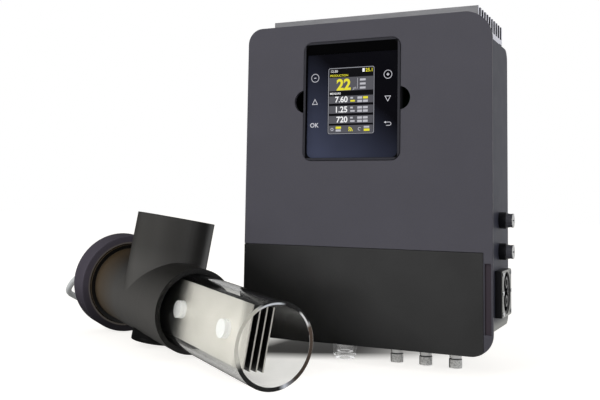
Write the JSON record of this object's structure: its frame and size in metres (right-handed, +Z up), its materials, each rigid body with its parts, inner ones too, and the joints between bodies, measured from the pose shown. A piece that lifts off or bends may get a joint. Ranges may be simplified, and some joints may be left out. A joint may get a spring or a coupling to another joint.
{
  "type": "salt chlorine generator",
  "caption": "Wall control box with a finned heat sink, pull-out display and wiring cover, with a tee cell whose plates draw out of a clear tube.",
  "frame": {"origin": "middle of the footprint of the box and the cell together, on the floor", "axes": "+Z up, -Y out of the front cover, +X to the right when facing the front"},
  "size_m": [0.5918, 0.4248, 0.3242],
  "materials": {
    "cover_grey": "fine texture",
    "lower_black": "fine texture",
    "housing_grey": "satin",
    "seal_rubber": "matt",
    "steel": "zinc plated",
    "sink_aluminium": "as extruded",
    "black_plastic": "satin",
    "board_green": "solder resist",
    "part_blue": "gloss",
    "supply_grey": "potted case",
    "terminal_green": "gloss",
    "bezel_grey": "satin",
    "panel_black": "high gloss",
    "screen": "lit screen",
    "key_white": "satin",
    "fuse_glass": "gloss",
    "silver": "plated",
    "nickel": "nickel plated",
    "gland_pale": "translucent",
    "tee_black": "moulded",
    "nut_dark": "moulded",
    "tube_clear": "clear",
    "titanium": "satin",
    "nylon_white": "satin",
    "gland_grey": "satin",
    "cable_grey": "satin"
  },
  "bodies": {
    "box": {"front_cover": "cover_grey", "housing": "housing_grey", "rear_housing": "housing_grey", "board_posts": "housing_grey", "cover_gasket": "seal_rubber", "fixing_screws": "steel", "heat_sink": "sink_aluminium", "rectifier": "black_plastic", "wall_bracket": "steel", "main_board": "board_green", "board_socket": "black_plastic", "board_parts": "part_blue", "power_supply": "supply_grey", "terminal_board": "board_green", "terminal_blocks": "terminal_green", "fuse_holders": "black_plastic", "socket_body": "black_plastic", "socket_face": "silver", "socket_contacts": "silver", "socket_screws": "silver", "probe_jacks": "nickel", "jack_nuts": "nickel", "mains_gland": "gland_pale", "tee_body": "tee_black", "port_plug": "tee_black", "clear_tube": "tube_clear"},
    "lower_cover": {"lower_cover": "lower_black"},
    "display": {"display_bezel": "bezel_grey", "display_panel": "panel_black", "display_screen": "screen", "display_board": "board_green", "key_switches": "silver", "display_back": "black_plastic"},
    "key_minus": {"key_minus": "key_white"},
    "key_up": {"key_up": "key_white"},
    "key_ok": {"key_ok": "key_white"},
    "key_plus": {"key_plus": "key_white"},
    "key_down": {"key_down": "key_white"},
    "key_back": {"key_back": "key_white"},
    "fuse_1": {"fuse_1": "fuse_glass"},
    "fuse_cap_1": {"fuse_cap_1": "black_plastic"},
    "fuse_2": {"fuse_2": "fuse_glass"},
    "fuse_cap_2": {"fuse_cap_2": "black_plastic"},
    "mains_gland_nut": {"mains_gland_nut": "gland_pale"},
    "electrode": {"electrode_head": "tee_black", "head_seal": "seal_rubber", "terminal_rods": "titanium", "anode_plates": "titanium", "cathode_plates": "titanium", "plate_spacers": "nylon_white", "plate_bolts": "nylon_white", "cell_gland": "gland_grey", "cell_cable": "cable_grey", "cable_coil": "cable_grey", "cable_end": "cable_grey", "cable_tie": "nylon_white", "plug_body": "black_plastic", "plug_pins": "silver"},
    "union_nut": {"union_nut": "nut_dark"},
    "cell_gland_nut": {"cell_gland_nut": "gland_grey"}
  },
  "joints": [
    {"name": "lower_cover_pull", "type": "slide", "parent": "box", "child": "lower_cover", "axis": [0, -1, 0], "range_m": [0, 0.016]},
    {"name": "display_pull", "type": "slide", "parent": "box", "child": "display", "axis": [0, -1, 0], "range_m": [0, 0.036]},
    {"name": "key_minus_press", "type": "slide", "parent": "display", "child": "key_minus", "axis": [0, 1, 0], "range_m": [0, 0.0003], "stiffness_N_per_m": 1500, "springref_m": -0.0003},
    {"name": "key_up_press", "type": "slide", "parent": "display", "child": "key_up", "axis": [0, 1, 0], "range_m": [0, 0.0003], "stiffness_N_per_m": 1500, "springref_m": -0.0003},
    {"name": "key_ok_press", "type": "slide", "parent": "display", "child": "key_ok", "axis": [0, 1, 0], "range_m": [0, 0.0003], "stiffness_N_per_m": 1500, "springref_m": -0.0003},
    {"name": "key_plus_press", "type": "slide", "parent": "display", "child": "key_plus", "axis": [0, 1, 0], "range_m": [0, 0.0003], "stiffness_N_per_m": 1500, "springref_m": -0.0003},
    {"name": "key_down_press", "type": "slide", "parent": "display", "child": "key_down", "axis": [0, 1, 0], "range_m": [0, 0.0003], "stiffness_N_per_m": 1500, "springref_m": -0.0003},
    {"name": "key_back_press", "type": "slide", "parent": "display", "child": "key_back", "axis": [0, 1, 0], "range_m": [0, 0.0003], "stiffness_N_per_m": 1500, "springref_m": -0.0003},
    {"name": "fuse_1_pull", "type": "slide", "parent": "box", "child": "fuse_1", "axis": [1, 0, 0], "range_m": [0, 0.036]},
    {"name": "fuse_cap_1_turn", "type": "hinge", "parent": "fuse_1", "child": "fuse_cap_1", "pos_m": [0.23574, 0.05319, 0.1325], "axis": [1, 0, 0], "range_deg": [-90, 0]},
    {"name": "fuse_2_pull", "type": "slide", "parent": "box", "child": "fuse_2", "axis": [1, 0, 0], "range_m": [0, 0.036]},
    {"name": "fuse_cap_2_turn", "type": "hinge", "parent": "fuse_2", "child": "fuse_cap_2", "pos_m": [0.23574, 0.05319, 0.1051], "axis": [1, 0, 0], "range_deg": [-90, 0]},
    {"name": "mains_gland_turn", "type": "hinge", "parent": "box", "child": "mains_gland_nut", "pos_m": [0.08464, 0.04819, 0.0065], "axis": [0, 0, 1], "continuous": true},
    {"name": "electrode_pull", "type": "slide", "parent": "box", "child": "electrode", "axis": [-0.8393, 0.5409, 0.0547], "range_m": [0, 0.34]},
    {"name": "union_nut_turn", "type": "hinge", "parent": "electrode", "child": "union_nut", "pos_m": [-0.19589, 0.07569, 0.05361], "axis": [0.8393, -0.5409, -0.0547], "continuous": true},
    {"name": "cell_gland_turn", "type": "hinge", "parent": "electrode", "child": "cell_gland_nut", "pos_m": [-0.22946, 0.09733, 0.0558], "axis": [0.8393, -0.5409, -0.0547], "continuous": true}
  ]
}
